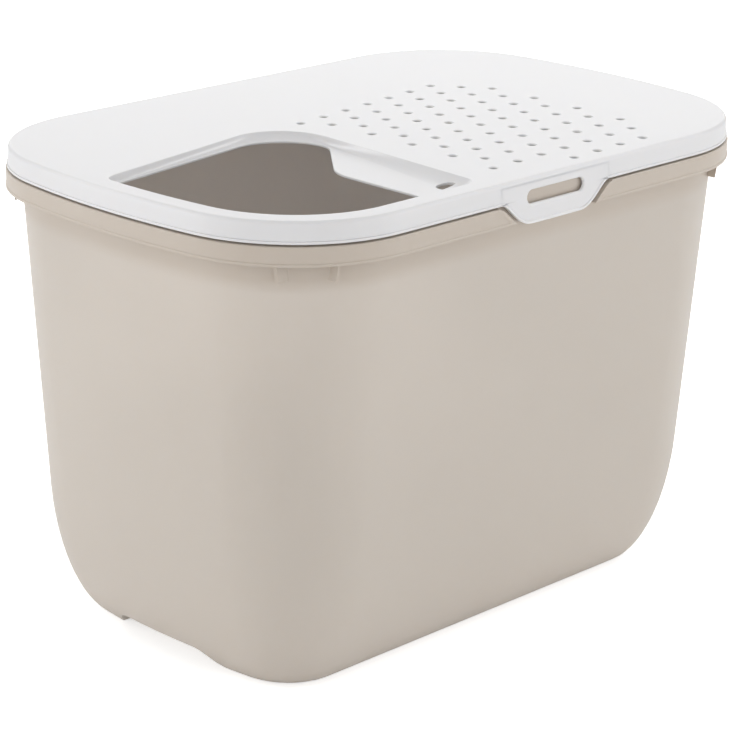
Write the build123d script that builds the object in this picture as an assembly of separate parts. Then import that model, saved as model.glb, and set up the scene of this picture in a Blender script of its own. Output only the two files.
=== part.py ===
from build123d import *
from math import atan2, cos, pi, radians, sin, sqrt, tan
import os

# Top entry litter box: a deep one-piece tub and a lid with an entry opening.
# Millimetres. The origin is on the floor under the middle of the box, +X runs along
# the length towards the perforated end of the lid, -Y is the front, +Z is up.
# "Inset" is how far a line stands in, all round, from the widest outline of the box.

# ---------------------------------------------------------------- overall size
LENGTH = 585.0
WIDTH = 390.0
HEIGHT = 395.0
CORNER_RADIUS = 116.0
END_BOW_RADIUS = 690.0        # the short ends bow out a little

# ---------------------------------------------------------------- tub
WALL = 2.6
FLOOR = 3.0
WALL_INSET = 13.1             # wall face at the lower edge of the rim band
WALL_DRAFT = 3.9              # degrees that the wall leans in towards the floor
HEEL_HEIGHT = 110.0           # where the wall starts to curve under
HEEL_REACH = 49.5             # how far that curve runs in before it meets the floor
HEEL_WALL_HANDLE = 60.7       # pull of the curve along the wall
HEEL_FLOOR_HANDLE = 23.2      # pull of the curve along the floor
FLOOR_RING = 10.0             # ring of level floor made in one sweep with the wall
FLOOR_OVERLAP = 2.0           # floor plate into that ring

BAND_HEIGHT = 15.1            # the tub's own rim band, under the lid's skirt
BAND_SKIN = 2.4
BAND_SPREAD = 0.3             # the band is this much wider at its lower edge
BAND_EDGE_RADIUS = 1.0
BAND_BEAD = 0.6               # the lower edge of the band stands out as a bead
BAND_BEAD_HEIGHT = 2.0
SHOULDER = 2.5                # level shoulder that joins band, upstand and wall
CHANNEL_RADIUS = 2.2          # between the wall and the underside of the shoulder
UPSTAND_INSET = 6.2           # upstand above the shoulder, which carries the lid
UPSTAND = 2.6
LEDGE_RISE = 0.8              # ledge inside the upstand, above the shoulder
LEDGE_FALL = 2.0              # and its fall towards the wall

GUSSET = 1.6                  # fins under the shoulder, two at each corner
GUSSET_DROP = 14.0            # below the band's lower edge
GUSSET_EDGE_INSET = 5.0
GUSSET_TIP_INSET = 7.0
GUSSET_FROM_SIDE = 44.5       # fins that stick out endways, from the long side
GUSSET_FROM_END = 74.0        # fins that stick out sideways, from the short end

ARCH_RISE = 20.0              # hand grip under each short end
ARCH_FLAT = 76.0              # width of its level ceiling
ARCH_FOOT = 150.0             # width where it meets the floor
ARCH_DEPTH = 97.5             # how far it runs in under the tub

# ---------------------------------------------------------------- lid
LID_PLATE = 2.0
SKIRT_HEIGHT = 16.9
SKIRT_TOP_INSET = 2.6
SKIRT_FOOT_INSET = 2.0
SKIRT_WALL = 2.4
SKIRT_EDGE_RADIUS = 3.0
SKIRT_BEAD = 0.8              # bead along the foot of the skirt, standing out
SKIRT_BEAD_HEIGHT = 2.2
SKIRT_BEAD_RADIUS = 0.6
SKIRT_ROOT_RADIUS = 1.0
LID_GAP = 1.5                 # under the skirt, above the tub's shoulder
PLATE_RING = 15.0             # ring of plate made in one sweep with the skirt
PLATE_OVERLAP = 2.0           # middle of the plate into that ring

# ---------------------------------------------------------------- entry dish in the lid
# Each outline of the dish is an arc round its inner corner, a back edge that runs from the
# arc to the end of the box, a cross edge that runs to the front, and a side along the rim.
DISH_DEPTH = 5.5
DISH_SKIN = 1.8
CORNER_FROM_END = 189.3       # middle of the inner corner's arc
CORNER_FROM_FRONT = 198.2
DISH_CORNER_RADIUS = 45.2
DISH_BACK_RAKE = 10.2         # degrees between its back edge and the length
DISH_CROSS_RAKE = 3.3         # degrees between its cross edge and the width
DISH_LIP = 21.3               # inset of its side along the rim of the lid
DISH_TIP_RADIUS = 12.0
FLOOR_BACK_RAKE = 8.7         # the same for the outline of its level floor
FLOOR_CROSS_RAKE = 10.0
FLOOR_LIP = 24.3
FLOOR_TIP_RADIUS = 8.0
FLOOR_MARGIN = 1.2            # level floor left round the opening
DISH_BELLY_RUN = 0.45         # the slopes are hollow: at this share of their run
DISH_BELLY_DEPTH = 0.70       # they have already dropped by this share of the depth
DISH_EDGE_RADIUS = 1.0

# ---------------------------------------------------------------- entry opening in the dish
LOBE_SHIFT_X = -7.3           # middle of the lobe's arc, from the middle of the dish's arc
LOBE_SHIFT_Y = -9.9
LOBE_RADIUS = 46.0
LOBE_SIDE = 3.8               # from the middle of its arc to the corner where it turns in
LOBE_TURN_RADIUS = 24.0
WAIST_STEP = 52.8             # from the lobe's side to the edge of the cross bar
WAIST_RUN = 59.9              # from that corner to the bar, across the box
WAIST_RADIUS = 36.0
OPENING_TIP_RADIUS = 6.0
OPENING_EDGE_RADIUS = 0.6

SCOOP_HOLE_RADIUS = 8.0       # hole that a scoop's handle hangs in
SCOOP_HOLE_FLAT = 2.9         # from its middle to the flat side, at the front
SCOOP_HOLE_FROM_END = 209.2
SCOOP_HOLE_FROM_FRONT = 39.4

# ---------------------------------------------------------------- perforations
HOLE_RADIUS = 3.4
HOLE_FLARE = 0.9              # each mouth opens by this at the top face
HOLE_PITCH = 29.7             # along a row; every other row is shifted by half of it
HOLE_ROW = 23.2               # between the rows, in the middle of the field
HOLE_ROW_CLOSING = 0.26       # each gap between rows is this much less than the one before it
FIELD_FROM_CORNER = 167.2     # middle of the field, from the middle of the dish's arc
FIELD_FROM_FRONT = 140.3
FIELD_LEAN = 0.8              # degrees that the middle line of the field leans
FIELD_FRONT_RAKE = 3.1        # degrees that the first row turns from the length
FIELD_BACK_RAKE = 7.6         # and the last row, nearly in line with the dish's back edge
FIELD_BOW_RADIUS = 1100.0     # the columns bow out with the end of the box
FIELD_ROWS = 11
ROW_HOLES = 7
FRONT_ROW_HOLES = 4

# ---------------------------------------------------------------- latch tabs
TAB_WIDTH = 124.0
TAB_FOOT_WIDTH = 56.0
TAB_WAIST_HANDLE = 8.0        # pull of its curved sides at the skirt's foot
TAB_FOOT_HANDLE = 16.0        # and at the foot of the tab
TAB_BEND_DROP = 4.0           # bend line below the top of the lid
TAB_OVERHANG = 2.8            # foot of the tab below the tub's band
TAB_WALL = 2.4
TAB_TOP_INSET = 2.4
TAB_FOOT_INSET = 0.8
TAB_BEAD = 0.7                # bead round the lower edge, standing out
TAB_BEAD_WIDTH = 2.2
TAB_SEAM = 0.2
TAB_EDGE_RADIUS = 0.6
HOOK_HEIGHT = 2.0             # catch behind the foot of the tab
HOOK_CLEARANCE = 0.3
GRIP_LENGTH = 65.0            # finger slot
GRIP_HEIGHT = 10.6
GRIP_DROP = 15.7              # middle of the slot below the top of the lid
GRIP_EDGE_RADIUS = 0.9
NOTCH_CLEARANCE = 2.5         # round the tab, in the tub's band
NOTCH_WALL = 2.4

# ---------------------------------------------------------------- levels above the floor
PLATE_UNDERSIDE = HEIGHT - LID_PLATE
SKIRT_FOOT = HEIGHT - SKIRT_HEIGHT
SHOULDER_TOP = SKIRT_FOOT - LID_GAP
BAND_FOOT = SHOULDER_TOP - BAND_HEIGHT
CHANNEL_TOP = SHOULDER_TOP - SHOULDER
DISH_FLOOR = HEIGHT - DISH_DEPTH
TAB_BEND = HEIGHT - TAB_BEND_DROP
TAB_FOOT = BAND_FOOT - TAB_OVERHANG


# ---------------------------------------------------------------- shared outline
def outline(inset):
    """Closed plan outline, a true offset of the widest one, from the middle of the front."""
    bow_x = LENGTH / 2 - END_BOW_RADIUS
    corner_y = WIDTH / 2 - CORNER_RADIUS
    corner_x = bow_x + sqrt((END_BOW_RADIUS - CORNER_RADIUS) ** 2 - corner_y**2)
    turn = atan2(corner_y, corner_x - bow_x)
    side = WIDTH / 2 - inset

    def arc(x, y, radius, start, end):
        angles = (start, (start + end) / 2, end)
        return ThreePointArc(*[(x + radius * cos(t), y + radius * sin(t)) for t in angles])

    corner = CORNER_RADIUS - inset
    bow = END_BOW_RADIUS - inset
    return Wire(
        [
            Line((0, -side), (corner_x, -side)),
            arc(corner_x, -corner_y, corner, -pi / 2, -turn),
            arc(bow_x, 0, bow, -turn, turn),
            arc(corner_x, corner_y, corner, turn, pi / 2),
            Line((corner_x, side), (-corner_x, side)),
            arc(-corner_x, corner_y, corner, pi / 2, pi - turn),
            arc(-bow_x, 0, bow, pi - turn, pi + turn),
            arc(-corner_x, -corner_y, corner, pi + turn, 3 * pi / 2),
            Line((-corner_x, -side), (0, -side)),
        ]
    )


def plate(inset, bottom, top):
    """Level plate with the shared outline."""
    return Pos(0, 0, bottom) * extrude(make_face(outline(inset).edges()), top - bottom)


def at(inset, z):
    """Point of a section, drawn at the middle of the front."""
    return (0, inset - WIDTH / 2, z)


def around(edges):
    """Section edges carried once round the shared outline."""
    return sweep(sections=make_face(edges), path=outline(0))


def section(points, radii=None):
    """Closed section of (inset, level) points, some corners rounded."""
    places = [at(inset, z) for inset, z in points]
    if radii is None:
        return Polyline(*places, close=True).edges()
    return FilletPolyline(*places, radius=radii, close=True).edges()


# ---------------------------------------------------------------- tub
def wall_inset(z):
    """Outer face of the leaning wall."""
    return WALL_INSET + (BAND_FOOT - z) * tan(radians(WALL_DRAFT))


HEEL_TOP_INSET = wall_inset(HEEL_HEIGHT)
HEEL_FOOT_INSET = HEEL_TOP_INSET + HEEL_REACH
RING_INSET = HEEL_FOOT_INSET + FLOOR_RING


def heel(skin, floor):
    """Curve from the wall down to the floor, moved in and up for the inner face."""
    handle_z = HEEL_HEIGHT - HEEL_WALL_HANDLE
    return Bezier(
        at(HEEL_FOOT_INSET + skin, floor),
        at(HEEL_FOOT_INSET + skin - HEEL_FLOOR_HANDLE, floor),
        at(wall_inset(handle_z) + skin, handle_z + floor / 2),
        at(HEEL_TOP_INSET + skin, HEEL_HEIGHT),
    )


def tub_shell():
    band_top = BAND_SPREAD
    channel_outer = BAND_SPREAD + BAND_SKIN
    wall_top = wall_inset(CHANNEL_TOP)
    upstand_inner = UPSTAND_INSET + UPSTAND
    ledge = SHOULDER_TOP + LEDGE_RISE
    rim = FilletPolyline(
        at(HEEL_TOP_INSET, HEEL_HEIGHT),
        at(wall_top, CHANNEL_TOP),
        at(channel_outer, CHANNEL_TOP),
        at(BAND_SKIN, BAND_FOOT),
        at(0, BAND_FOOT),
        at(0, BAND_FOOT + BAND_BEAD_HEIGHT),
        at(BAND_BEAD, BAND_FOOT + BAND_BEAD_HEIGHT + BAND_BEAD),
        at(band_top, SHOULDER_TOP),
        at(UPSTAND_INSET, SHOULDER_TOP),
        at(UPSTAND_INSET, PLATE_UNDERSIDE),
        at(upstand_inner, PLATE_UNDERSIDE),
        at(upstand_inner, ledge),
        at(wall_top + WALL, ledge - LEDGE_FALL),
        at(HEEL_TOP_INSET + WALL, HEEL_HEIGHT),
        radius=[CHANNEL_RADIUS, 0.8, 0.6, 0.6, 0.3, 0.3, BAND_EDGE_RADIUS, 0.5, 0.6, 0.6, 0.8, 0.8],
    )
    ends = [
        Line(at(HEEL_FOOT_INSET + WALL, FLOOR), at(RING_INSET, FLOOR)),
        Line(at(RING_INSET, FLOOR), at(RING_INSET, 0)),
        Line(at(RING_INSET, 0), at(HEEL_FOOT_INSET, 0)),
    ]
    shell = around([heel(0, 0), *rim.edges(), heel(WALL, FLOOR), *ends])
    return shell + plate(RING_INSET - FLOOR_OVERLAP, 0, FLOOR)


def heel_space():
    """Everything inside the outer face of the tub, up to the top of the heel."""
    sides = [
        heel(0, 0),
        Line(at(HEEL_TOP_INSET, HEEL_HEIGHT), at(RING_INSET, HEEL_HEIGHT)),
        Line(at(RING_INSET, HEEL_HEIGHT), at(RING_INSET, 0)),
        Line(at(RING_INSET, 0), at(HEEL_FOOT_INSET, 0)),
    ]
    return around(sides) + plate(RING_INSET - FLOOR_OVERLAP, 0, HEEL_HEIGHT)


def arch(grow):
    """Tunnel under the end at +X: level ceiling, and sides that ease into the floor."""
    top = ARCH_FLAT / 2 + grow
    foot = ARCH_FOOT / 2 + grow
    middle = (top + foot) / 2
    rise = ARCH_RISE + grow
    face = make_face(
        [
            Line((0, -foot, 0), (0, foot, 0)),
            Bezier((0, foot, 0), (0, middle, 0), (0, middle, rise), (0, top, rise)),
            Line((0, top, rise), (0, -top, rise)),
            Bezier((0, -top, rise), (0, -middle, rise), (0, -middle, 0), (0, -foot, 0)),
        ]
    )
    start = LENGTH / 2 - ARCH_DEPTH - grow
    return Pos(start, 0, 0) * extrude(face, ARCH_DEPTH + 2 * grow, dir=(1, 0, 0))


def gussets():
    tip = BAND_FOOT - GUSSET_DROP
    root = CHANNEL_TOP + SHOULDER / 2
    ring = around(
        section(
            [
                (GUSSET_EDGE_INSET, root),
                (GUSSET_EDGE_INSET, BAND_FOOT),
                (GUSSET_TIP_INSET, tip),
                (wall_inset(tip) + WALL / 2, tip),
                (wall_inset(root) + WALL / 2, root),
            ]
        )
    )
    endways_y = WIDTH / 2 - GUSSET_FROM_SIDE
    sideways_x = LENGTH / 2 - GUSSET_FROM_END
    slabs = []
    for x in (-1, 1):
        for y in (-1, 1):
            slabs.append(Pos(x * LENGTH / 2, y * endways_y, HEIGHT / 2) * Box(LENGTH / 2, GUSSET, HEIGHT))
            slabs.append(Pos(x * sideways_x, y * WIDTH / 2, HEIGHT / 2) * Box(GUSSET, WIDTH / 2, HEIGHT))
    return [ring & slab for slab in slabs]


# ---------------------------------------------------------------- latch tab outline
def tab_prism(grow, outer, inner):
    """The tab seen from the front, carried back from one inset to another."""
    half_top = TAB_WIDTH / 2 + grow
    half_foot = TAB_FOOT_WIDTH / 2 + grow
    waist_pull = half_top - TAB_WAIST_HANDLE
    foot_pull = half_foot + TAB_FOOT_HANDLE
    waist = SKIRT_FOOT - grow
    foot = TAB_FOOT - grow
    y = outer - WIDTH / 2
    curve = [(half_top, waist), (waist_pull, waist), (foot_pull, foot), (half_foot, foot)]
    right = [(x, y, z) for x, z in curve]
    left = [(-x, y, z) for x, z in reversed(curve)]
    face = make_face(
        [
            Polyline(left[-1], (-half_top, y, HEIGHT), (half_top, y, HEIGHT), right[0]),
            Bezier(*right),
            Line(right[-1], left[0]),
            Bezier(*left),
        ]
    )
    return extrude(face, inner - outer, dir=(0, 1, 0))


def both_sides(front):
    return [front, mirror(front, about=Plane.XZ)]


def tub():
    body = tub_shell() + gussets()
    for side in (0, 180):
        tunnel = Rot(0, 0, side) * arch(0)
        cover = Rot(0, 0, side) * arch(FLOOR)
        body = body + (cover & heel_space()) - tunnel
    band_zone = Pos(0, 0, (BAND_FOOT + SHOULDER_TOP) / 2) * Box(LENGTH, WIDTH, BAND_HEIGHT)
    cheeks = tab_prism(NOTCH_CLEARANCE + NOTCH_WALL, BAND_SPREAD, UPSTAND_INSET + UPSTAND)
    notch = tab_prism(NOTCH_CLEARANCE, -BAND_SKIN, UPSTAND_INSET)
    return body + both_sides(cheeks & band_zone) - both_sides(notch)


# ---------------------------------------------------------------- lid
CORNER_X = CORNER_FROM_END - LENGTH / 2
CORNER_Y = CORNER_FROM_FRONT - WIDTH / 2


def lid_shell():
    skirt_inner = SKIRT_TOP_INSET + SKIRT_WALL
    bead = SKIRT_FOOT_INSET - SKIRT_BEAD
    bead_top = SKIRT_FOOT + SKIRT_BEAD_HEIGHT
    ring = SKIRT_TOP_INSET + PLATE_RING
    profile = section(
        [
            (ring, HEIGHT),
            (SKIRT_TOP_INSET, HEIGHT),
            (SKIRT_FOOT_INSET, bead_top),
            (bead, bead_top),
            (bead, SKIRT_FOOT),
            (SKIRT_FOOT_INSET + SKIRT_WALL, SKIRT_FOOT),
            (skirt_inner, PLATE_UNDERSIDE),
            (ring, PLATE_UNDERSIDE),
        ],
        [0, SKIRT_EDGE_RADIUS, 0.3, SKIRT_BEAD_RADIUS, SKIRT_BEAD_RADIUS, 0.4, SKIRT_ROOT_RADIUS, 0],
    )
    return around(profile) + plate(ring - PLATE_OVERLAP, PLATE_UNDERSIDE, HEIGHT)


def along(angle, reach):
    """Step in the direction of an angle from +X, in radians."""
    return Vector(reach * cos(angle), reach * sin(angle))


def entry_region(middle, radius, back_rake, cross_rake, lip, tip_radius):
    """Plan region bounded by an arc round the inner corner, a back line and a cross line
    that leave it, and the rim of the lid. Its two tips are rounded."""
    back = radians(180 + back_rake)
    cross = radians(270 - cross_rake)
    arc_start = middle + along(back - pi / 2, radius)
    arc_end = middle + along(cross + pi / 2, radius)
    arc_middle = middle + along((back + cross) / 2 - pi, radius)
    far_back = arc_start + along(back, LENGTH)
    far_cross = arc_end + along(cross, LENGTH)
    sector = make_face(
        [
            Line(far_back, arc_start),
            ThreePointArc(arc_start, arc_middle, arc_end),
            Polyline(arc_end, far_cross, far_back + far_cross - middle, far_back),
        ]
    )
    region = sector & make_face(outline(lip).edges())
    left_tip = region.vertices().sort_by(Axis.X)[:2].sort_by(Axis.Y)[-1]
    front_tip = region.vertices().sort_by(Axis.Y)[:2].sort_by(Axis.X)[-1]
    return fillet([left_tip, front_tip], tip_radius)


DISH_MIDDLE = Vector(CORNER_X, CORNER_Y)
LOBE_MIDDLE = Vector(CORNER_X + LOBE_SHIFT_X, CORNER_Y + LOBE_SHIFT_Y)


def dish_section(grow, drop, run, depth):
    """Plan of the dish at a share of the slopes' run and of the depth."""

    def between(top, floor):
        return top + (floor - top) * run

    region = entry_region(
        DISH_MIDDLE + (LOBE_MIDDLE - DISH_MIDDLE) * run,
        between(DISH_CORNER_RADIUS, LOBE_RADIUS + FLOOR_MARGIN) + grow,
        between(DISH_BACK_RAKE, FLOOR_BACK_RAKE),
        between(DISH_CROSS_RAKE, FLOOR_CROSS_RAKE),
        between(DISH_LIP, FLOOR_LIP) - grow,
        between(DISH_TIP_RADIUS, FLOOR_TIP_RADIUS) + grow,
    )
    return Pos(0, 0, HEIGHT - drop - DISH_DEPTH * depth) * region


def dish_space(grow, drop):
    """The dish: hollow slopes all round a level floor."""
    return loft(
        [
            dish_section(grow, drop, 0, 0),
            dish_section(grow, drop, DISH_BELLY_RUN, DISH_BELLY_DEPTH),
            dish_section(grow, drop, 1, 1),
        ]
    )


def entry_plan():
    """Plan of the opening: a lobe towards the middle, a waist, and a straight cross bar."""
    lobe = entry_region(
        LOBE_MIDDLE, LOBE_RADIUS, FLOOR_BACK_RAKE, 0, FLOOR_LIP + FLOOR_MARGIN, OPENING_TIP_RADIUS
    )
    side_x = LOBE_MIDDLE.X + LOBE_RADIUS
    side_end = LOBE_MIDDLE.Y - LOBE_SIDE
    bar_x = side_x - WAIST_STEP
    beyond = side_x + LOBE_RADIUS
    bar = FilletPolyline(
        (beyond, side_end + LOBE_RADIUS),
        (side_x, side_end + LOBE_RADIUS),
        (side_x, side_end),
        (bar_x, side_end - WAIST_RUN),
        (bar_x, -WIDTH),
        (beyond, -WIDTH),
        radius=[0, 0, LOBE_TURN_RADIUS, WAIST_RADIUS, 0, 0],
        close=True,
    )
    region = lobe - make_face(bar.edges())
    front_tip = region.vertices().sort_by(Axis.Y)[:2].sort_by(Axis.X)[-1]
    return fillet(front_tip, OPENING_TIP_RADIUS)


def entry_opening():
    """What the opening takes out of the dish's floor: its upper edge is rounded."""
    low = DISH_FLOOR - 2 * DISH_SKIN
    plan = entry_plan()
    border = plan.faces()[0].outer_wire()
    floor = plate(DISH_LIP, low, DISH_FLOOR)
    framed = floor - Pos(0, 0, low) * extrude(plan, DISH_FLOOR - low)

    def on_border(edge):
        middle = edge.position_at(0.5)
        return border.distance_to(Vector(middle.X, middle.Y, 0)) < OPENING_EDGE_RADIUS / 10

    upper = framed.edges().group_by(Axis.Z)[-1].filter_by(on_border)
    return floor - fillet(upper, OPENING_EDGE_RADIUS)


def soft_mouth(body):
    """Round the dish's edge where it meets the top face."""

    def at_mouth(edge):
        middle = edge.position_at(0.5)
        inside_ends = abs(middle.X) < LENGTH / 2 - DISH_LIP / 2
        inside_sides = abs(middle.Y) < WIDTH / 2 - DISH_LIP / 2
        return inside_ends and inside_sides

    top_edges = body.edges().filter_by_position(Axis.Z, HEIGHT, HEIGHT).filter_by(at_mouth)
    return fillet(top_edges, DISH_EDGE_RADIUS)


def row_holes(row):
    """First place and number of holes in a row, counted in pitches from its middle."""
    half = (ROW_HOLES - 1) / 2
    if row == 0:
        return 0.5 - FRONT_ROW_HOLES / 4, FRONT_ROW_HOLES
    if row == FIELD_ROWS - 1:
        return -half - 0.5, ROW_HOLES
    return -half + (0.5 if row % 2 == 0 else 0.0), ROW_HOLES


def perforations():
    """Staggered rows of round holes with flared mouths, fanned out from front to back."""
    mouth = Pos(0, 0, HEIGHT - HOLE_FLARE / 2) * Cone(HOLE_RADIUS, HOLE_RADIUS + HOLE_FLARE, HOLE_FLARE)
    bore = Pos(0, 0, HEIGHT - LID_PLATE) * Cylinder(HOLE_RADIUS, 2 * LID_PLATE)
    hole = mouth + bore
    middle_row = (FIELD_ROWS - 1) / 2
    holes = []
    for row in range(FIELD_ROWS):
        from_middle = row - middle_row
        across = from_middle * HOLE_ROW - from_middle**2 * HOLE_ROW_CLOSING / 2
        bow = across**2 / (2 * FIELD_BOW_RADIUS)
        x = CORNER_X + FIELD_FROM_CORNER + across * tan(radians(FIELD_LEAN)) - bow
        y = -WIDTH / 2 + FIELD_FROM_FRONT + across
        rake = FIELD_FRONT_RAKE + (FIELD_BACK_RAKE - FIELD_FRONT_RAKE) * row / (FIELD_ROWS - 1)
        first, count = row_holes(row)
        for number in range(count):
            place = Pos(x, y) * Rot(0, 0, rake) * Pos((first + number) * HOLE_PITCH, 0)
            holes.append(place * hole)
    return holes


def lid():
    body = lid_shell() + dish_space(DISH_SKIN, DISH_SKIN) - dish_space(0, 0)
    body = soft_mouth(body - entry_opening())
    scoop_x = SCOOP_HOLE_FROM_END - LENGTH / 2
    scoop_y = -WIDTH / 2 + SCOOP_HOLE_FROM_FRONT
    scoop_drill = Cylinder(SCOOP_HOLE_RADIUS, 4 * DISH_DEPTH)
    before_flat = Pos(0, -SCOOP_HOLE_FLAT - SCOOP_HOLE_RADIUS / 2, 0) * Box(
        2 * SCOOP_HOLE_RADIUS, SCOOP_HOLE_RADIUS, 5 * DISH_DEPTH
    )
    scoop_hole = Pos(scoop_x, scoop_y, DISH_FLOOR) * (scoop_drill - before_flat)
    window_depth = SKIRT_TOP_INSET + SKIRT_WALL + SKIRT_BEAD
    window = Pos(0, (window_depth - WIDTH) / 2, (TAB_BEND + TAB_FOOT) / 2) * Box(
        TAB_WIDTH, window_depth, TAB_BEND - TAB_FOOT
    )
    return body - scoop_hole - both_sides(window) - perforations()


# ---------------------------------------------------------------- latch tabs
def blade_section(points):
    """Section of the tab, carried across its whole width."""
    return extrude(make_face(section(points)), TAB_WIDTH / 2, dir=(1, 0, 0), both=True)


def tab_front(proud):
    """Line of the tab's front face, from the bend down to the foot."""
    return [(TAB_TOP_INSET - proud, TAB_BEND), (TAB_FOOT_INSET - proud, TAB_FOOT)]


def front_latch():
    inner_foot = TAB_FOOT_INSET + TAB_WALL
    back = (TAB_TOP_INSET + TAB_WALL, TAB_BEND)
    hook = UPSTAND_INSET - HOOK_CLEARANCE
    catch = [(hook, TAB_FOOT), (hook, TAB_FOOT + HOOK_HEIGHT / 2), (inner_foot, TAB_FOOT + HOOK_HEIGHT)]
    blade = blade_section([*tab_front(0), *catch, back])
    thick_blade = blade_section([*tab_front(TAB_BEAD), (inner_foot, TAB_FOOT), back])
    whole = tab_prism(0, -TAB_WALL, UPSTAND_INSET)
    lower_edge = whole - tab_prism(-TAB_BEAD_WIDTH, -TAB_WALL, UPSTAND_INSET)
    bead_top = SKIRT_FOOT + SKIRT_BEAD_HEIGHT
    below_skirt = Pos(0, 0, (bead_top + TAB_FOOT) / 2) * Box(TAB_WIDTH, 2 * WIDTH, bead_top - TAB_FOOT)
    slot = Plane.XZ * Pos(0, HEIGHT - GRIP_DROP) * SlotOverall(GRIP_LENGTH, GRIP_HEIGHT)
    tab = (blade & whole) + (thick_blade & lower_edge & below_skirt) - extrude(slot, WIDTH)

    def on_front(proud):
        def test(edge):
            top, foot = tab_front(proud)
            for share in (0, 0.5, 1):
                place = edge.position_at(share)
                fall = (top[1] - place.Z) / (top[1] - foot[1])
                face_y = top[0] + (foot[0] - top[0]) * fall - WIDTH / 2
                if abs(place.Y - face_y) > TAB_BEAD / 20:
                    return False
            return True

        return test

    def round_slot(edge):
        middle = edge.position_at(0.5)
        level = abs(middle.Z - HEIGHT + GRIP_DROP) < GRIP_HEIGHT
        return level and abs(middle.X) <= GRIP_LENGTH / 2 + TAB_BEAD

    tab = fillet(tab.edges().filter_by(on_front(TAB_BEAD)), TAB_EDGE_RADIUS)
    tab = fillet(tab.edges().filter_by(on_front(0)).filter_by(round_slot), GRIP_EDGE_RADIUS)
    seam_top = TAB_BEND - TAB_SEAM
    seam_box = Pos(0, 0, seam_top - HEIGHT / 2) * Box(TAB_WIDTH - 2 * TAB_SEAM, 2 * WIDTH, HEIGHT)
    return tab & seam_box


# ---------------------------------------------------------------- export
def main():
    os.makedirs("parts", exist_ok=True)
    latch = front_latch()
    nodes = {
        "tub": tub(),
        "lid": lid(),
        "front_latch": latch,
        "rear_latch": mirror(latch, about=Plane.XZ),
    }
    for name, solid in nodes.items():
        solid.label = name
        export_step(solid, f"parts/{name}.step")


main()
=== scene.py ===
import math

import bpy
import numpy as np
from mathutils import Matrix, Vector


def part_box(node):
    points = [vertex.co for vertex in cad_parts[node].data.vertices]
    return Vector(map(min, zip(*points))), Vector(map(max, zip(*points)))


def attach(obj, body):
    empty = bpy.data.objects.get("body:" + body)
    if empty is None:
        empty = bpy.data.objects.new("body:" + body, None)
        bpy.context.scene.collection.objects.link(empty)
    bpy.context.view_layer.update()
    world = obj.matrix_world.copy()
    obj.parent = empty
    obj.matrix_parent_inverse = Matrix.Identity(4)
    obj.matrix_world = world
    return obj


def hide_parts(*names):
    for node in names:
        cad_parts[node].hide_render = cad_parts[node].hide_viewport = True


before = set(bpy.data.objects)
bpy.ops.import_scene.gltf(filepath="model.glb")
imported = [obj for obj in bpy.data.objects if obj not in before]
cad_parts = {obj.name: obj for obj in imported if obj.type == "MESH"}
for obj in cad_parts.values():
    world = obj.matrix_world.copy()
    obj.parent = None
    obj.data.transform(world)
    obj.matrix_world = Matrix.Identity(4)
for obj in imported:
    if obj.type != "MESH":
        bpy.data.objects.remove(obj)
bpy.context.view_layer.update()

# ---------------------------------------------------------------- tub
# The deep one-piece tub is greige polypropylene, injection moulded with a satin skin
# and a faint orange-peel texture. Its walls are thin enough to let some daylight
# through to the inside. Everything else sits on its upstand.
greige = (0.655, 0.592, 0.528)
greige_spread = (0.89, 0.93, 0.99)
fin_tips = 0.347                    # the fins under the rim end at about this level
crease = math.radians(28)           # faces that turn by more than this keep a sharp edge
same_point = 1e-6                   # points that are closer than this are the same one


class Flow:
    """An output of a shader node. Arithmetic on it adds Math nodes to the same tree."""

    def __init__(self, tree, socket):
        self.tree = tree
        self.socket = socket

    def maths(self, operation, *terms):
        made = self.tree.nodes.new("ShaderNodeMath")
        made.operation = operation
        for place, term in zip(made.inputs, terms):
            if isinstance(term, Flow):
                self.tree.links.new(term.socket, place)
            else:
                place.default_value = term
        return Flow(self.tree, made.outputs[0])

    def __add__(self, other):
        return self.maths("ADD", self, other)

    def __radd__(self, other):
        return self.maths("ADD", other, self)

    def __sub__(self, other):
        return self.maths("SUBTRACT", self, other)

    def __rsub__(self, other):
        return self.maths("SUBTRACT", other, self)

    def __mul__(self, other):
        return self.maths("MULTIPLY", self, other)

    def __rmul__(self, other):
        return self.maths("MULTIPLY", other, self)


class Shading:
    """The node tree of a material or a world, written as nested calls and sums."""

    def __init__(self, owner):
        owner.use_nodes = True
        self.owner = owner
        self.tree = owner.node_tree
        self.tree.nodes.clear()

    def node(self, kind, settings=None, output=0, **inputs):
        """Adds a node. Its settings come first, then values or Flows for its inputs, named
        as on the node with spaces written as underscores, or by number as in _0."""
        made = self.tree.nodes.new("ShaderNode" + kind)
        for name, value in (settings or {}).items():
            setattr(made, name, value)
        for name, value in inputs.items():
            key = int(name[1:]) if name[1:].isdigit() else name.replace("_", " ")
            if isinstance(value, Flow):
                self.tree.links.new(value.socket, made.inputs[key])
            else:
                made.inputs[key].default_value = value
        return Flow(self.tree, made.outputs[output]) if made.outputs else made


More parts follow.
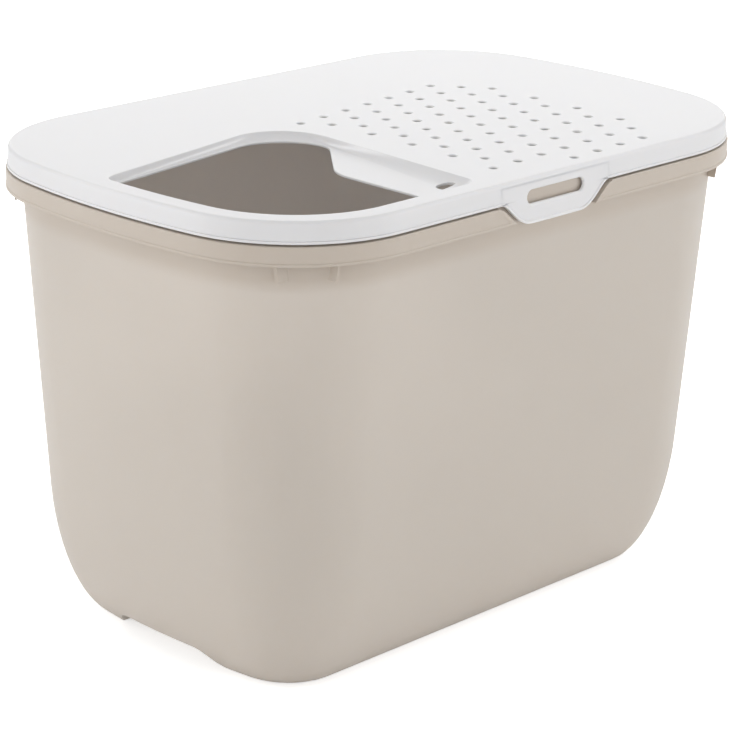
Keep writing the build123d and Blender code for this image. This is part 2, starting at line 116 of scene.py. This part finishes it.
def moulded_plastic(name, colour, roughness, grain, depth, spread, opaque_and_shaded_above=None):
    """Satin moulded polypropylene: soft clouding of the colour, gloss that varies a little
    from place to place, and a fine grain left by the mould. Light that enters it spreads
    through the depth, times a share for red, green and blue. Above the level in the last
    argument it lets no light through, and its colour is darkened as painted shade under the rim."""
    cloud_scale, cloud_tone, cloud_gloss = 9.0, 0.025, 0.04
    peel_scale, peel_height = 900.0, 0.0002
    shading = Shading(bpy.data.materials.new(name))
    place = shading.node("TexCoord", output="Object")
    clouds = shading.node("TexNoise", Vector=place, Scale=cloud_scale, Detail=3.0, Roughness=0.5)
    peel = shading.node("TexNoise", Vector=place, Scale=peel_scale, Detail=2.0, Roughness=0.6)
    lighter = (*[min(1.0, c * (1 + cloud_tone)) for c in colour], 1.0)
    darker = (*[c * (1 - cloud_tone) for c in colour], 1.0)
    tone = shading.node("Mix", {"data_type": "RGBA"}, output=2, _0=clouds, _6=darker, _7=lighter)
    finish = {
        "Roughness": roughness - cloud_gloss + 2 * cloud_gloss * clouds,
        "Normal": shading.node("Bump", Height=peel, Strength=grain, Distance=peel_height),
        "IOR": 1.49,
        "Subsurface_Weight": 1.0,
        "Subsurface_Radius": spread,
    }
    plastic = shading.node("BsdfPrincipled", Base_Color=tone, Subsurface_Scale=depth, **finish)
    if opaque_and_shaded_above:
        # Painted shade: this tint darkens the colour above the level, where the rim and the fins
        # shade the wall.
        painted_shade_tint, solid_depth, fade = (0.945, 0.93, 0.91, 1.0), 0.0001, 0.010
        level = shading.node("SeparateXYZ", output=2, Vector=place)
        share = shading.node(
            "MapRange", Value=level, From_Min=opaque_and_shaded_above - fade, From_Max=opaque_and_shaded_above
        )
        multiply = {"data_type": "RGBA", "blend_type": "MULTIPLY"}
        shaded_tone = shading.node("Mix", multiply, output=2, _0=1.0, _6=tone, _7=painted_shade_tint)
        opaque_shaded_plastic = shading.node(
            "BsdfPrincipled", Base_Color=shaded_tone, Subsurface_Scale=solid_depth, **finish
        )
        plastic = shading.node("MixShader", _0=share, _1=plastic, _2=opaque_shaded_plastic)
    shading.node("OutputMaterial", Surface=plastic)
    return shading.owner


def dress(node, material):
    """Gives a CAD node its material, and smooth shading that stops at its sharp edges."""
    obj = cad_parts[node]
    if not obj.material_slots:
        obj.data.materials.append(material)
    for slot in obj.material_slots:
        slot.material = material
    obj.data.polygons.foreach_set("use_smooth", np.ones(len(obj.data.polygons), bool))
    weld = obj.modifiers.new("weld", "WELD")
    weld.merge_threshold = same_point
    creases = obj.modifiers.new("creases", "EDGE_SPLIT")
    creases.split_angle = crease
    evened = obj.modifiers.new("evened", "WEIGHTED_NORMAL")
    evened.keep_sharp = True


# From the fin tips up, the tub's colour carries painted shade: darker where the rim and the fins
# shade the wall.
tub_plastic = moulded_plastic(
    "tub_plastic",
    greige,
    roughness=0.42,
    grain=0.12,
    depth=0.0087,
    spread=greige_spread,
    opaque_and_shaded_above=fin_tips,
)
dress("tub", tub_plastic)

# ---------------------------------------------------------------- lid
# The lid is one white polypropylene moulding. Its skirt drops round the tub's upstand,
# and the dish with the entry opening, the drain holes and the scoop's hole are moulded in.
white = (0.805, 0.800, 0.806)
white_spread = (1.0, 0.95, 0.88)
lid_plastic = moulded_plastic(
    "lid_plastic", white, roughness=0.32, grain=0.08, depth=0.0018, spread=white_spread
)
dress("lid", lid_plastic)

# ---------------------------------------------------------------- latch tabs
# A tab hangs from the lid on each long side, moulded in one with the skirt and bending
# along a thin line near the top. A finger in its slot pulls it outwards, and the catch
# behind its foot lets go of the tub's rim. The bead round its lower edge is the skirt's.
lid_low, lid_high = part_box("lid")
tab_low, tab_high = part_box("front_latch")
half_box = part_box("tub")[1].y
seam = 0.0002                       # the tabs reach across it, so that they meet the skirt
tab_half = tab_high.x + seam
tab_top = tab_high.z + seam
tab_foot = tab_low.z
half_foot = 0.0280                  # half the straight part of the foot
waist_pull = 0.0080                 # pull of the side's curve along the skirt's foot
foot_pull = 0.0160                  # and along the tab's own foot
tab_wall = 0.0024
catch_height = 0.0020
catch_reach = 0.0027
slot_half = 0.0325                  # half the length of the finger slot
slot_radius = 0.0053
slot_level = lid_high.z - 0.0157
slot_rounding = 0.0017
bead = 0.0008                       # how far the bead stands out
bead_width = 0.0022
bead_rounding = 0.0006
bead_root = 0.0003
bead_top = lid_low.z + bead_width
bead_turn = 0.010                   # away from the skirt, the bead turns half round over this,
bead_turn_start = 0.2               # and begins after this share of it
skirt_top_inset = 0.0026
skirt_foot_inset = lid_low.y + half_box + bead


def run(start, end, count):
    """Points of a straight run: start + share * (end - start), without the end itself."""
    share = np.arange(count)[:, None] / count
    return np.array(start) + share * np.subtract(end, start)


def half_outlines():
    """Right half of the tab's outline and of its slot, both from the middle of the top to the
    middle of the foot and with as many points: straight runs, a cubic Bezier curve for the
    tab's curved side, and half a circle for the slot's end."""
    top_steps, skirt_steps, root_steps, bead_steps, curve_steps, foot_steps = 12, 8, 6, 6, 24, 9
    end_steps = skirt_steps + root_steps + bead_steps + curve_steps
    corner, waist, foot = (tab_half, tab_top), (tab_half, lid_low.z), (half_foot, tab_foot)
    above_bead, in_bead = (tab_half, bead_top + bead_root), (tab_half, bead_top - bead_rounding)
    t = np.arange(curve_steps)[:, None] / curve_steps
    side = (
        (1 - t) ** 3 * waist
        + 3 * t * (1 - t) ** 2 * (waist[0] - waist_pull, waist[1])
        + 3 * t**2 * (1 - t) * (foot[0] + foot_pull, foot[1])
        + t**3 * foot
    )
    edge = [
        run((0, tab_top), corner, top_steps),
        run(corner, above_bead, skirt_steps),
        run(above_bead, in_bead, root_steps),
        run(in_bead, waist, bead_steps),
        side,
        run(foot, (0, tab_foot), foot_steps),
        [(0, tab_foot)],
    ]
    straight = slot_half - slot_radius
    low, high = slot_level - slot_radius, slot_level + slot_radius
    turn = np.pi / 2 - np.pi * np.arange(end_steps)[:, None] / end_steps
    end = np.hstack([straight + slot_radius * np.cos(turn), slot_level + slot_radius * np.sin(turn)])
    slot = [
        run((0, high), (straight, high), top_steps),
        end,
        run((straight, low), (0, low), foot_steps),
        [(0, low)],
    ]
    return np.vstack(edge), np.vstack(slot)


def whole(half):
    """The half outline and its mirror image, as one closed loop."""
    return np.vstack([half, half[-2:0:-1] * (-1, 1)])


def distance_from(lower, points):
    """Distance from each point to the tab's lower edge, carried on at both ends along the
    skirt's foot: the least distance to any point of that line when it is finely divided."""
    past, join_points, finer = 2 * tab_half, 40, 8
    lower = lower[np.argsort(lower[:, 0])]
    far_left, far_right = (-past, lid_low.z), (past, lid_low.z)
    left = np.linspace(far_left, lower[0], join_points)
    right = np.linspace(lower[-1], far_right, join_points)
    line = np.vstack([far_left, left, lower, right])
    fine = np.linspace(0, len(line) - 1, finer * len(line))
    line = np.stack([np.interp(fine, np.arange(len(line)), line[:, k]) for k in (0, 1)], axis=1)
    return np.linalg.norm(points[:, :, None] - line, axis=3).min(axis=2)


def bead_height(d, x):
    """How far the face stands out at the distance d from the lower edge. Beside the skirt it
    is as on the skirt's own bead: a quarter circle up, a level top, a quarter circle down
    and a hollow root. Away from the skirt it is half an ellipse over the bead's width."""
    step = bead - bead_rounding
    short = bead_rounding - np.minimum(d, bead_rounding)
    up = np.sqrt(np.clip(bead_rounding**2 - short**2, 0, None))
    past = np.clip(d - bead_width + bead_rounding, 0, bead_rounding)
    down = np.sqrt(np.clip(bead_rounding**2 - past**2, 0, None))
    hollow = np.clip(bead_width + bead_root - d, 0, bead_root)
    root = bead_root - np.sqrt(np.clip(bead_root**2 - hollow**2, 0, None))
    height = step + np.where(d < bead_width / 2, up, down)
    height = np.where(d > bead_width, np.minimum(root, step), height)
    half_round = bead * np.sqrt(np.clip(1 - (2 * d / bead_width - 1) ** 2, 0, None))
    away = np.clip((tab_half - np.abs(x)) / bead_turn - bead_turn_start, 0, 1)
    return height + np.where(d < bead_width, away, 0) * (half_round - height)


def skirt_inset(z):
    """Inset of the skirt's leaning face, which is straight from the lid's top to the bead."""
    share = (lid_high.z - z) / (lid_high.z - bead_top)
    return skirt_top_inset + (skirt_foot_inset - skirt_top_inset) * share


def latch_tab(name, side):
    """A loop of points round the tab, times a profile that goes once round its thickness:
    in from the outer edge over the bead, across the level face to the slot's rounded edge,
    through the slot, and back along the hidden face past the catch. A point's inset from
    the side of the box is the skirt's, less the bead's height, plus a quarter circle at
    the slot. On the hidden face it is the skirt's, plus the wall, plus the catch's reach."""
    edge, slot = [whole(half) for half in half_outlines()]
    tangent = np.roll(edge, -1, axis=0) - np.roll(edge, 1, axis=0)
    inward = np.stack([tangent[:, 1], -tangent[:, 0]], axis=1)
    inward /= np.linalg.norm(inward, axis=1, keepdims=True)
    # Beside the skirt, the edge of the profile shrinks to a narrow share of its width.
    narrow, widening = 0.1, 0.0035
    below = edge[:, 1] < lid_low.z + same_point
    hem = np.where(below, np.clip((tab_half - np.abs(edge[:, 0])) / widening, narrow, 1.0), narrow)
    inward *= hem[:, None]
    axis_x = np.clip(slot[:, :1], slot_radius - slot_half, slot_half - slot_radius)
    outward = (slot - np.hstack([axis_x, np.full_like(axis_x, slot_level)])) / slot_radius

    quarter = np.linspace(0, np.pi / 2, 6)
    rise = bead_rounding * (1 - np.cos(quarter))
    root = bead_width + bead_root * (1 - np.cos(quarter[1:]))
    across = np.concatenate([rise, [bead_width / 2], (bead_width - rise)[::-1], root])
    outer = [edge + inward * width for width in across]
    inner = [slot + outward * slot_rounding * (1 - math.sin(angle)) for angle in quarter]
    level_shares = (0.03, 0.08, 0.16, 0.3, 0.5, 0.75)
    level = [outer[-1] + (inner[0] - outer[-1]) * share for share in level_shares]
    front = np.stack([*outer, *level, *inner], axis=1)
    catch_widths = (2 * catch_height, catch_height, catch_height / 2, 0)
    catch = [edge + inward * width for width in catch_widths]
    hidden = np.stack([slot, (slot + catch[0]) / 2, *catch], axis=1)

    rounding = np.zeros(front.shape[1])
    rounding[-len(quarter):] = slot_rounding * (1 - np.cos(quarter))
    height = bead_height(distance_from(edge[below], front), front[:, :, 0])
    front_inset = skirt_inset(front[:, :, 1]) - height + rounding
    in_catch = np.clip((tab_foot + catch_height - hidden[:, :, 1]) / (catch_height / 2), 0, 1)
    hidden_inset = skirt_inset(hidden[:, :, 1]) + tab_wall + catch_reach * in_catch
    plan = np.concatenate([front, hidden], axis=1)
    inset = np.concatenate([front_inset, hidden_inset], axis=1)
    points = np.stack([plan[:, :, 0], side * (half_box - inset), plan[:, :, 1]], axis=2)

    rows, columns = points.shape[:2]
    i, j = np.meshgrid(np.arange(rows), np.arange(columns), indexing="ij")
    i_next, j_next = (i + 1) % rows, (j + 1) % columns
    corners = [
        i * columns + j,
        i_next * columns + j,
        i_next * columns + j_next,
        i * columns + j_next,
    ]
    # The rear tab mirrors the front one, so the corners of its faces go the other way round.
    faces = np.stack(corners[::-side], axis=2).reshape(-1, 4)
    mesh = bpy.data.meshes.new(name)
    mesh.from_pydata(points.reshape(-1, 3).tolist(), [], faces.tolist())
    mesh.polygons.foreach_set("use_smooth", np.ones(len(faces), bool))
    mesh.set_sharp_from_angle(angle=crease)
    mesh.materials.append(lid_plastic)
    tab = bpy.data.objects.new(name, mesh)
    bpy.context.scene.collection.objects.link(tab)
    evened = tab.modifiers.new("evened", "WEIGHTED_NORMAL")
    evened.keep_sharp = True
    return tab


for node, side in (("front_latch", -1), ("rear_latch", 1)):
    tab = latch_tab(node.replace("latch", "tab"), side)
    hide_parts(node)
    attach(tab, node)

# ---------------------------------------------------------------- floor
# A seamless pale sweep of paper. It looks white, and keeps the box's soft shadow.
paper_white = (0.92, 0.92, 0.92, 1.0)
paper_glow = 0.6                    # added only to what the camera sees
half_floor = 7.0
paper = Shading(bpy.data.materials.new("paper"))
seen = paper.node("LightPath", output="Is Camera Ray")
glow = paper.node("Emission", Color=(1.0, 1.0, 1.0, 1.0), Strength=seen * paper_glow)
matt = paper.node("BsdfDiffuse", Color=paper_white)
paper.node("OutputMaterial", Surface=paper.node("AddShader", _0=glow, _1=matt))
floor_corners = [
    (-half_floor, -half_floor, 0),
    (half_floor, -half_floor, 0),
    (half_floor, half_floor, 0),
    (-half_floor, half_floor, 0),
]
floor_mesh = bpy.data.meshes.new("floor")
floor_mesh.from_pydata(floor_corners, [], [(0, 1, 2, 3)])
floor = bpy.data.objects.new("floor", floor_mesh)
bpy.context.scene.collection.objects.link(floor)
floor.data.materials.append(paper.owner)

# ---------------------------------------------------------------- light
# A white room with large soft boxes, low down at both sides and in front. Two small lamps
# high at the sides draw fine bright lines along the rounded edges, and the level top of
# the lid mirrors a bright wall far behind, so that the slopes of its dish look darker.
daylight = 0.62                     # strength of the room's own light
mirrored_loss = 0.21                # and how much less of it the glossy surfaces mirror
lamp_distance = 2.6
box_middle = Vector((0, 0, 0.2))
bpy.context.scene.world = bpy.data.worlds.new("room")
room = Shading(bpy.context.scene.world)
looked_at = room.node("LightPath", output="Is Camera Ray")
mirrored = room.node("LightPath", output="Is Glossy Ray")
strength = daylight + (1 - daylight) * looked_at - mirrored_loss * mirrored
air = room.node("Background", Color=(1.0, 1.0, 1.0, 1.0), Strength=strength)
room.node("OutputWorld", Surface=air)


def soft_box(name, azimuth, elevation, width, height, power):
    """A rectangular area lamp that faces the middle of the box. Its place is in degrees to
    the right of the front and above the level, its size in metres, its power in watts."""
    lamp = bpy.data.lights.new(name, "AREA")
    lamp.shape = "RECTANGLE"
    lamp.size = width
    lamp.size_y = height
    lamp.energy = power
    lit = bpy.data.objects.new(name, lamp)
    bpy.context.scene.collection.objects.link(lit)
    a, e = math.radians(azimuth), math.radians(elevation)
    away = Vector((math.sin(a) * math.cos(e), -math.cos(a) * math.cos(e), math.sin(e)))
    lit.location = box_middle + away * lamp_distance
    lit.rotation_euler = away.to_track_quat("Z", "Y").to_euler()


soft_box("left_box", -125, 7, 1.6, 1.6, 17.5)
soft_box("right_box", 40, 7, 1.6, 1.6, 13.5)
soft_box("right_edge", 80, 45, 0.4, 0.4, 8)
soft_box("left_edge", -165, 45, 0.4, 0.4, 7)
soft_box("front_box", -45, 7, 1.6, 1.6, 9)
soft_box("back_wall", 135, 18, 2.6, 1.3, 12)

# ---------------------------------------------------------------- camera
# A long lens, a little above the box and off its near corner, rolled by one degree.
render_width = 731                  # in pixels, as is the focal length
focal_length = 2744.39
camera_place = (-1.54596, -1.51595, 0.93026)
azimuth, elevation, roll = math.radians(-45.399), math.radians(18.904), math.radians(1.0117)
scene = bpy.context.scene
scene.view_settings.view_transform = "Standard"
lens = bpy.data.cameras.new("camera")
lens.sensor_width = 36.0
lens.lens = focal_length / render_width * lens.sensor_width
camera = bpy.data.objects.new("camera", lens)
scene.collection.objects.link(camera)
level_share = math.cos(elevation)
back_x, back_y = math.sin(azimuth) * level_share, -math.cos(azimuth) * level_share
back = Vector((back_x, back_y, math.sin(elevation)))
right = Vector((math.cos(azimuth), math.sin(azimuth), 0.0))
up = back.cross(right)
side_axis = math.cos(roll) * right + math.sin(roll) * up
up_axis = math.cos(roll) * up - math.sin(roll) * right
turn = Matrix((side_axis, up_axis, back)).transposed().to_4x4()
camera.matrix_world = Matrix.Translation(camera_place) @ turn
scene.camera = camera
